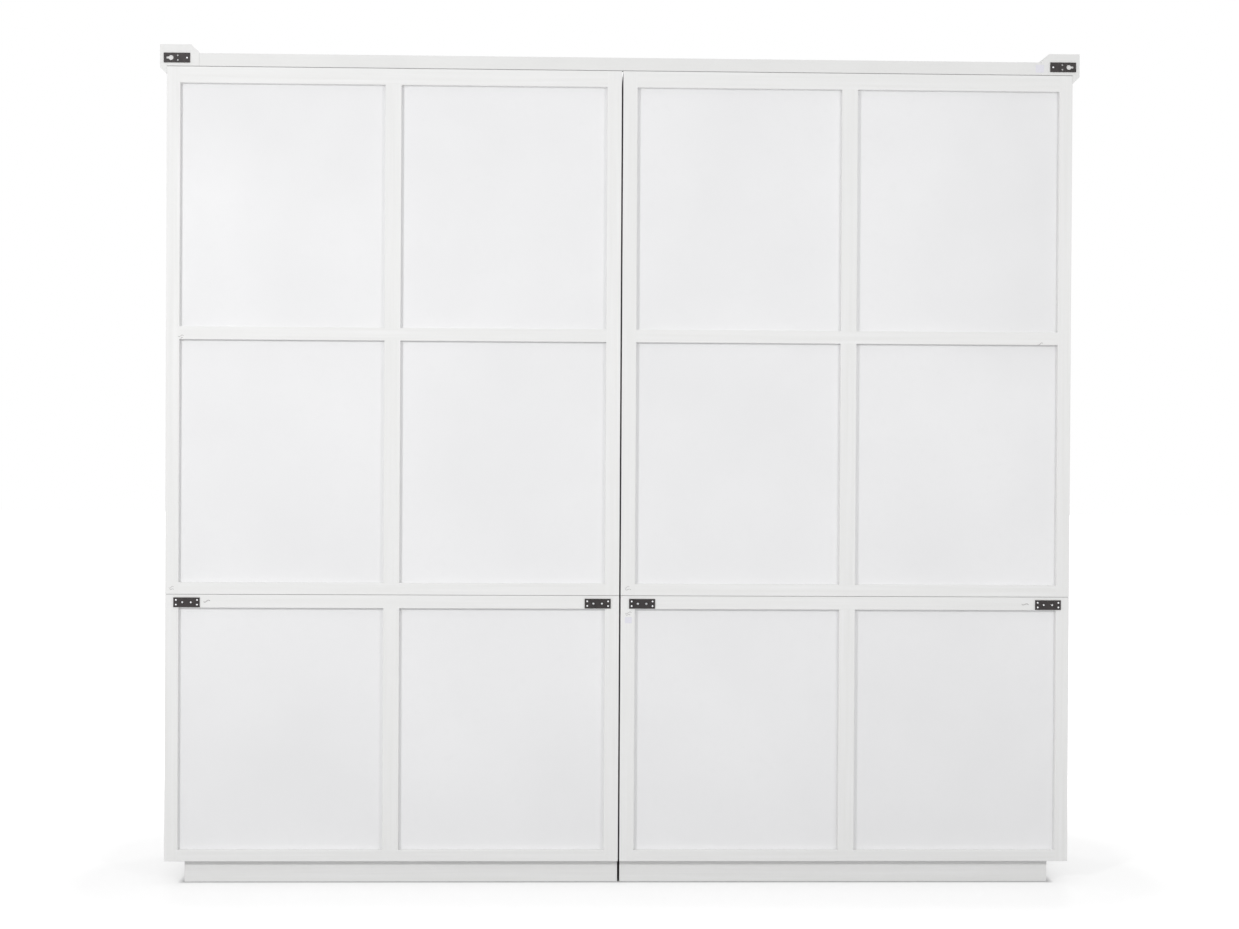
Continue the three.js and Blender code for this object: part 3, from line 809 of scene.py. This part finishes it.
def makeDeck(column):
    node, body, look = f"{column}_slat_deck", f"{column}_bed", slatLook
    low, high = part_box(node)
    centre = (low.x + high.x) / 2
    pitch = (high.z - low.z - look["width"]) / (look["count"] - 1)
    template = newObject("slat_template", makeSlat(high.x - low.x - look["endGap"]))
    half, level = look["width"] / 2, low.y + look["lift"]
    points = [(centre, level, low.z + half + at * pitch) for at in range(look["count"])]
    repeatOn(
        f"{column}_slats", points, template, "slat", body,
        replaced=[node], slot="slat_birch",
    )
    bpy.data.objects.remove(template)
    holders, top = [], low.y + holderLook["depth"]
    for _, _, z in points:
        for x0, x1 in ((low.x, low.x + look["batten"]), (high.x - look["batten"], high.x)):
            for z0 in (z - half + holderLook["under"], z + half + holderLook["over"]):
                z1 = z0 + holderLook["height"]
                if low.z <= z0 and z1 <= high.z:
                    holders.append(board((x0, low.y, z0), (x1, top, z1), 0.0))
    mesh = boardMesh(f"{column}_slat_holders", holders, holderLook["edge"])
    keepPiece(f"{column}_slat_holders", mesh, "rubber", body, slot="dark_steel")


def makeBedFrame(column):
    edge = slatLook["frameEdge"]
    keepEased(f"{column}_bed_frame", edge, "bedSteel", f"{column}_bed", "grey_steel")


# mattress: blown up as cloth, then quilted, piped and strapped down

mattressLook = {
    "shrink": 0.007, "voxel": 0.012, "quickVoxel": 0.03, "frames": 20, "cap": 0.011,
    "quiltPitch": 0.21, "quiltDepth": 0.009, "dimple": 0.35, "plainEdge": 0.03, "fade": 0.05,
    "seamInset": 0.026, "seamDepth": 0.004, "seamWidth": 0.006,
    "cloth": {
        "use_pressure": True, "uniform_pressure_force": 4.0, "quality": 5, "mass": 0.4,
        "tension_stiffness": 25, "compression_stiffness": 25, "shear_stiffness": 10,
        "bending_stiffness": 2,
    },
}


def inflate(piece, look):
    # cloth with air in it; how far a point moves is capped, so the block keeps its size
    start = [vertex.co.copy() for vertex in piece.data.vertices]
    cloth = piece.modifiers.new("air", "CLOTH")
    for name, value in look["cloth"].items():
        setattr(cloth.settings, name, value)
    cloth.settings.effector_weights.gravity = 0
    cloth.collision_settings.use_collision = False
    cloth.point_cache.frame_start = 1
    cloth.point_cache.frame_end = look["frames"]
    for at in range(1, look["frames"] + 1):
        scene.frame_set(at)
    blown = plainMesh(piece)
    piece.modifiers.remove(cloth)
    scene.frame_set(1)
    for vertex, was, now in zip(piece.data.vertices, start, blown.vertices):
        move = now.co - was
        if move.length > look["cap"]:
            move *= look["cap"] / move.length
        vertex.co = was + move


def makeMattressMesh():
    look = mattressLook
    low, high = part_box("left_mattress")
    middle, half = (low + high) / 2, (high - low) / 2
    shape = bmesh.new()
    shape.from_mesh(nodes["left_mattress"].data)
    bmesh.ops.remove_doubles(shape, verts=shape.verts, dist=1e-5)
    for vertex in shape.verts:
        away = vertex.co - middle
        vertex.co = middle + Vector(a * (1 - look["shrink"] / h) for a, h in zip(away, half))
    block = newObject("mattress_block", meshFrom(shape, "mattress_block"))
    remesh = block.modifiers.new("grid", "REMESH")
    remesh.mode = "VOXEL"
    remesh.voxel_size = look["voxel"]
    fine = plainMesh(block)
    block.modifiers.remove(remesh)
    block.data = fine
    inflate(block, look)
    smooth = block.modifiers.new("fine", "SUBSURF")
    smooth.levels = smooth.render_levels = 1
    mesh = plainMesh(block)
    bpy.data.objects.remove(block)
    quilt(mesh, middle, half, look)
    return mesh


def quilt(mesh, middle, half, look):
    # diamond quilting on the two broad sides and a seam pulled in along their edges
    pitch, depth = look["quiltPitch"], look["quiltDepth"]
    moves = []
    for vertex in mesh.vertices:
        away = vertex.co - middle
        facing = abs(vertex.normal.y)
        edge = min(half.x - abs(away.x), half.z - abs(away.z))
        inside = min(max((edge - look["plainEdge"]) / look["fade"], 0), 1)
        first = abs(math.sin(math.pi * (away.x + away.z) / pitch))
        second = abs(math.sin(math.pi * (away.x - away.z) / pitch))
        sink = (1 - min(first, second) ** look["dimple"]) * facing * inside * depth
        seam = abs(half.y - look["seamInset"] - abs(away.y)) / look["seamWidth"]
        sink += look["seamDepth"] * math.exp(-(seam ** 2)) * (1 - facing)
        moves.append(vertex.normal * -sink)
    for vertex, move in zip(mesh.vertices, moves):
        vertex.co += move


pipingLook = {
    "radius": 0.0042, "corner": 0.06, "cornerSteps": 8, "spacing": 0.03, "proud": 0.35, "reach": 1.6,
}


def makeEdging(tree, middle, half):
    # piping round both edges of the border, laid on the cloth
    look, shape = pipingLook, bmesh.new()
    corner, steps = look["corner"], look["cornerSteps"]
    for level in (-1, 1):
        seam = middle.y + level * (half.y - mattressLook["seamInset"])
        centre = Vector((middle.x, seam, middle.z))
        path = []
        for cx, cz, start in ((1, 1, 0), (-1, 1, 90), (-1, -1, 180), (1, -1, 270)):
            for step in range(steps + 1):
                turn = math.radians(start + step * 90 / steps)
                x = middle.x + cx * (half.x - corner) + corner * math.cos(turn)
                z = middle.z + cz * (half.z - corner) + corner * math.sin(turn)
                path.append(Vector((x, seam, z)))
        laid = []
        for point, after in zip(path, [*path[1:], path[0]]):
            parts = max(1, round((after - point).length / look["spacing"]))
            for part in range(parts):
                spot = point.lerp(after, part / parts)
                away = (spot - centre).normalized()
                hit = tree.ray_cast(centre + away * look["reach"], -away)[0]
                laid.append(hit + away * look["radius"] * look["proud"] if hit else spot)
        sweep(laid, circleSection(look["radius"], 10), shape, loop=True)
    return outward(shape, "piping")


strapLook = {
    "width": 0.05, "thickness": 0.0018, "lift": 0.0004, "places": (0.55, 1.0, 1.55),
    "endInset": 0.014, "endDrop": 0.0215, "spacing": 0.02,
}


def hull(points):
    # upper chain of the points' convex hull, from low x to high x
    chain = []
    for point in sorted(points):
        while len(chain) > 1:
            (ax, ay), (bx, by) = chain[-2:]
            if (bx - ax) * (point[1] - ay) - (by - ay) * (point[0] - ax) < 0:
                break
            chain.pop()
        chain.append(point)
    return chain


def makeStraps(column, mesh, shift):
    # webbing from rail to rail over the mattress, taut, so it follows the outline's hull
    look, shape = strapLook, bmesh.new()
    low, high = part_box(f"{column}_bed_frame")
    half, inset, level = look["width"] / 2, look["endInset"], high.y - look["endDrop"]
    ends = [(low.x + inset, level), (high.x - inset, level)]
    lift, thick = look["lift"], look["thickness"]
    section = [(-lift, -half), (-lift, half), (-thick, half), (-thick, -half)]
    for place in look["places"]:
        band = [v.co + shift for v in mesh.vertices if abs(v.co.z - place) < half]
        chain = hull([*((point.x, point.y) for point in band), *ends])
        path = []
        for start, end in zip(chain, chain[1:]):
            start, end = Vector((*start, place)), Vector((*end, place))
            steps = max(1, round((end - start).length / look["spacing"]))
            path += [start.lerp(end, step / steps) for step in range(steps)]
        path.append(Vector((*chain[-1], place)))
        sweep(path, section, shape, up=Vector((0, 0, 1)))
    return outward(shape, "straps")


def makeMattress(column, mesh, shift):
    body, node = f"{column}_bed", f"{column}_mattress"
    own = mesh.copy()
    own.transform(Matrix.Translation(shift))
    low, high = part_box(node)
    middle, half = (low + high) / 2, (high - low) / 2
    skin = bmesh.new()
    skin.from_mesh(own)
    tree = BVHTree.FromBMesh(skin)
    skin.free()
    piece = keepPiece(f"{node}_quilted", own, "ticking", body, [node], "mattress_ticking", 60)
    piping = makeEdging(tree, middle, half)
    keepPiece(f"{node}_piping", piping, "piping", body, slot="mattress_ticking", smoothAngle=60)
    straps = makeStraps(column, mesh, shift)
    keepPiece(f"{column}_bed_straps", straps, "webbing", body, slot="dark_steel")


mattressMesh = makeMattressMesh()
print("mattress blown up and quilted")
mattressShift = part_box("right_mattress")[0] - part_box("left_mattress")[0]
for column, shift in (("left", Vector((0, 0, 0))), ("right", mattressShift)):
    makeFace(column)
    makeBedFrame(column)
    makeDeck(column)
    makeMattress(column, mattressMesh, shift)
print("beds made")


# folding leg that is also the handle, on its hinge rail

legLook = {
    "tube": 0.011, "bend": 0.045, "bendSteps": 12, "lead": 0.002, "topGap": 0.0005,
    "railInset": 0.026, "pin": 0.004, "pinEase": 0.0008, "sleeveLength": 0.07,
    "sleeveInset": 0.06, "sleeveOver": 0.0005, "sleeveUnder": 0.0004,
}
legRailLook = {
    "edge": 0.0006, "screws": 7, "screwInset": 0.06, "screwRise": 0.012, "headSink": 0.003,
    "screwDiameter": 0.008,
}


def pinProfile(radius, length, ease):
    return [(0, 0), (radius, 0), (radius, length - ease), (radius - ease, length), (0, length)]


def makeLeg(column):
    node, look, rail = f"{column}_leg", legLook, legRailLook
    low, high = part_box(node)
    railLow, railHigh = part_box(f"{node}_rail")
    pivot = Vector(joints[f"{node}_fold"]["pos_m"])
    radius, bend, steps = look["tube"], look["bend"], look["bendSteps"]
    half = (railHigh.x - railLow.x) / 2 - look["railInset"] - radius
    bottom, top = low.z + radius, high.z - look["topGap"]
    path = []
    for side in (-1, 1):
        upright = [(pivot.x + side * half, z) for z in (top, bottom + bend + look["lead"])]
        turns = [math.pi / 2 * (step / steps + (side > 0)) for step in range(steps + 1)]
        corner = pivot.x + side * (half - bend)
        curve = [(corner - bend * math.cos(t), bottom + bend - bend * math.sin(t)) for t in turns]
        spots = upright + curve if side < 0 else curve + upright[::-1]
        path += [Vector((x, pivot.y, z)) for x, z in spots]
    shape = sweep(path, circleSection(radius, 32))
    for side in (-1, 1):
        start = pivot.x + side * half
        length = abs((high.x if side > 0 else low.x) - start)
        turn = Matrix.Rotation(side * math.pi / 2, 4, "Y")
        aim = Matrix.Translation((start, pivot.y, pivot.z)) @ turn
        profile = pinProfile(look["pin"], length, look["pinEase"])
        turned(profile, aim, segments=24, shape=shape)
    keepPiece(f"{node}_tube", outward(shape, node), "tube", node, [node], "plain_steel", 40)

    # rubber sleeves where the bar meets the floor
    sleeves, length = bmesh.new(), look["sleeveLength"]
    outer, inner = radius + look["sleeveOver"], radius - look["sleeveUnder"]
    profile = [(inner, 0), (outer - 0.0002, 0), (outer, 0.0004), (outer, length - 0.0004),
               (outer - 0.0002, length), (inner, length)]
    for side in (-1, 1):
        start = pivot.x + side * (half - bend - look["sleeveInset"]) - length / 2
        aim = Matrix.Translation((start, pivot.y, bottom)) @ Matrix.Rotation(math.pi / 2, 4, "Y")
        turned(profile, aim, True, 32, sleeves)
    mesh = outward(sleeves, "sleeves")
    keepPiece(f"{node}_sleeves", mesh, "rubber", node, slot="dark_steel", smoothAngle=40)

    keepEased(f"{node}_rail", rail["edge"], "strutSteel", f"{column}_bed", "plain_steel")
    middle, inset, screws = (railLow.z + railHigh.z) / 2, rail["screwInset"], []
    for at in range(rail["screws"]):
        x = railLow.x + inset + at * (railHigh.x - railLow.x - 2 * inset) / (rail["screws"] - 1)
        for rise in (-rail["screwRise"], rail["screwRise"]):
            screws.append((x, railHigh.y - rail["headSink"], middle + rise))
    addScrews(f"{column}_rail_screws", screws, f"{column}_bed", toRoom, rail["screwDiameter"])


# gas struts and their mounts; distances along a strut run down from its fixed stud
strutLook = {
    "cylinder": 0.011, "top": 0.016, "bottom": 0.262, "neck": 0.0066, "neckTop": 0.008,
    "gland": [(-0.004, 0), (-0.0012, 0.0015), (-0.0012, 0.006), (0, 0.0075)],
    "shoulder": [(0, -0.004), (-0.001, -0.001), (-0.004, 0)],
    "eye": 0.011, "eyeWidth": 0.014, "eyeHole": 0.0053, "eyeEase": 0.001,
    "rod": 0.005, "bore": 0.118, "boreGap": 0.0003, "rodTop": 0.242, "rodEase": 0.001,
    "rodEye": 0.009, "rodNeck": 0.0062, "pin": 0.005, "pinEase": 0.0006,
}
mountLook = {
    "edge": 0.0008, "headSink": 0.005, "screwDiameter": 0.009,
    "screws": [(-0.024, -0.06), (-0.008, 0.06), (-0.016, 0.0)],  # out from the stud, and up
}


def ringProfile(inner, outer, width, ease):
    half = width / 2
    return [
        (inner, -half), (outer - ease, -half), (outer, -half + ease), (outer, half - ease),
        (outer - ease, half), (inner, half),
    ]


def makeStrut(label, side):
    look = strutLook
    swing, slide = joints[f"{label}_cylinder_swing"], joints[f"{label}_rod_slide"]
    along = Vector(slide["axis"])  # from the foot to the fixed stud
    lean = Vector((0, 0, 1)).rotation_difference(along).to_matrix().to_4x4()
    place = Matrix.Translation(swing["pos_m"]) @ lean
    across = Matrix.Rotation(math.pi / 2, 4, "Y")
    radius, rod, neck, width = look["cylinder"], look["rod"], look["neck"], look["eyeWidth"]
    top, bottom, neckTop = -look["top"], -look["bottom"], -look["neckTop"]
    bore = rod + look["boreGap"]  # open far enough up for the rod's whole stroke
    profile = [
        (0, -look["bore"]), (bore, -look["bore"]), (bore, bottom + 0.001),
        *((radius + out, bottom + up) for out, up in look["gland"]),
        *((radius + out, top + up) for out, up in look["shoulder"]),
        (neck, top + 0.0005), (neck, neckTop), (0, neckTop),
    ]
    shape = turned(profile, place, segments=40)
    ring = ringProfile(look["eyeHole"], look["eye"], width, look["eyeEase"])
    turned(ring, place @ across, True, 36, shape)
    keepPiece(
        f"{label}_cylinder_turned", outward(shape, "cylinder"), "cylinder",
        f"{label}_strut_cylinder", [f"{label}_cylinder"], "dark_steel", 35,
    )

    low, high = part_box(f"{label}_rod")
    foot = -(swing["pos_m"][2] - (low.z + look["rodEye"])) / along.z
    neck, rodTop, ease = look["rodNeck"], -look["rodTop"], look["rodEase"]
    shape = turned([
        (0, foot + 0.007), (neck, foot + 0.007), (neck, foot + 0.016), (rod, foot + 0.018),
        (rod, rodTop - ease), (rod - ease, rodTop), (0, rodTop),
    ], place, segments=32)
    footPlace = place @ Matrix.Translation((0, 0, foot))
    rim = ringProfile(0.0, look["rodEye"], width, look["eyeEase"])[1:-1]
    eye = [(0, -width / 2), *rim, (0, width / 2)]
    turned(eye, footPlace @ across, segments=36, shape=shape)
    pin = abs(swing["pos_m"][0] - (low.x if side > 0 else high.x))
    aim = footPlace @ Matrix.Rotation(-side * math.pi / 2, 4, "Y")
    turned(pinProfile(look["pin"], pin, look["pinEase"]), aim, segments=28, shape=shape)
    keepPiece(
        f"{label}_rod_ground", outward(shape, "rod"), "rod",
        f"{label}_strut_rod", [f"{label}_rod"], "polished_rod", 35,
    )

    mount, look = f"{label}_strut_mount", mountLook
    keepEased(mount, look["edge"], "strutSteel", "cabinet", "plain_steel")
    low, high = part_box(mount)
    face = high.x - look["headSink"] if side > 0 else low.x + look["headSink"]
    stud, middle = swing["pos_m"][1], (low.z + high.z) / 2
    screws = [(face, stud + out, middle + up) for out, up in look["screws"]]
    facing = (0, -90 * side, 0)
    addScrews(f"{label}_mount_screws", screws, "cabinet", facing, look["screwDiameter"])


for column in columns:
    makeLeg(column)
    for place, side in columns.items():
        makeStrut(f"{column}_bed_{place}", side)
bpy.data.objects.remove(screwTemplate)
print("legs and struts made")


# floor, light and background; standing is half the size of the plinths, where the floor starts to glow
stageLook = {
    "floor": "#cccccc", "floorSize": 30, "floorDrop": 0.0004, "standing": (1.122, 0.2023, 0),
    "nearGlow": 0.45, "farGlow": 1.0, "paintedShadowReach": 0.02, "farFrom": 0.25, "farTo": 1.3,
    "sky": 0.675, "back": 1.0, "aim": (0, 0, 1.0),
    "lamps": {
        "lampLeft": ((2.2, 4.0, 2.2), 0.45, 52), "lampRight": ((-2.0, 4.0, 2.1), 0.6, 27),
        "frontLeft": ((-2.0, -3.4, 2.3), 1.2, 30), "frontRight": ((2.1, -3.2, 2.2), 1.2, 20),
    },
}


def combine(tree, operation, first, second, kind="ShaderNodeMath"):
    return addNode(tree, kind, {0: first, 1: second}, operation=operation).outputs[0]


def litForCamera(tree):
    # 1 where the eye, a mirror or glass looks straight at the surface
    rays = addNode(tree, "ShaderNodeLightPath").outputs
    first = combine(tree, "MAXIMUM", rays["Is Camera Ray"], rays["Is Glossy Ray"])
    return combine(tree, "MAXIMUM", first, rays["Is Transmission Ray"])


def makeFloor():
    look, far = stageLook, stageLook["floorSize"]
    mesh = bpy.data.meshes.new("floor")
    corners = [(-far, -far, 0), (far, -far, 0), (far, far, 0), (-far, far, 0)]
    mesh.from_pydata(corners, [], [(0, 1, 2, 3)])
    floor = newObject("floor", mesh)
    floor.location.z = -look["floorDrop"]
    material, tree, shader, place = newMaterial("pale_seamless_floor")
    # the glow grows away from the cabinet, so the shadow stays and the far floor reads white; right at
    # the plinths the glow falls to nothing, which paints a dark contact shadow along their feet
    vectors = "ShaderNodeVectorMath"
    beyond = addNode(tree, vectors, {0: place}, operation="ABSOLUTE").outputs[0]
    beyond = combine(tree, "SUBTRACT", beyond, look["standing"], vectors)
    beyond = combine(tree, "MAXIMUM", beyond, (0, 0, 0), vectors)
    away = addNode(tree, vectors, {0: beyond}, operation="LENGTH").outputs["Value"]
    # no glow at the plinths' feet, rising over a few centimetres: a painted contact shadow
    near = spread(tree, away, 0, look["nearGlow"], 0, look["paintedShadowReach"])
    rest = look["farGlow"] - look["nearGlow"]
    level = combine(tree, "ADD", near, spread(tree, away, 0, rest, look["farFrom"], look["farTo"]))
    plug(tree, shader, {
        "Base Color": linear(look["floor"]), "Roughness": 0.8, "Specular IOR Level": 0.0,
        "Emission Color": (1, 1, 1, 1),
        "Emission Strength": combine(tree, "MULTIPLY", litForCamera(tree), level),
    })
    mesh.materials.append(material)


def makeWorld():
    world = bpy.data.worlds.new("studio")
    scene.world = world
    world.use_nodes = True
    tree = world.node_tree
    tree.nodes.clear()
    levels = {"Value": litForCamera(tree), "To Min": stageLook["sky"], "To Max": stageLook["back"]}
    level = addNode(tree, "ShaderNodeMapRange", levels).outputs["Result"]
    sky = addNode(tree, "ShaderNodeBackground", {"Color": (1, 1, 1, 1), "Strength": level})
    addNode(tree, "ShaderNodeOutputWorld", {"Surface": sky.outputs[0]})


def makeLamps():
    target = Vector(stageLook["aim"])
    for name, (place, size, power) in stageLook["lamps"].items():
        lamp = bpy.data.lights.new(name, "AREA")
        lamp.shape = "SQUARE"
        lamp.size = size
        lamp.energy = power
        holder = newObject(name, lamp)
        holder.location = place
        holder.rotation_euler = (target - Vector(place)).to_track_quat("-Z", "Y").to_euler()
        holder.visible_camera = False


makeFloor()
makeWorld()
makeLamps()
scene.view_settings.view_transform = "Standard"
print("stage set")
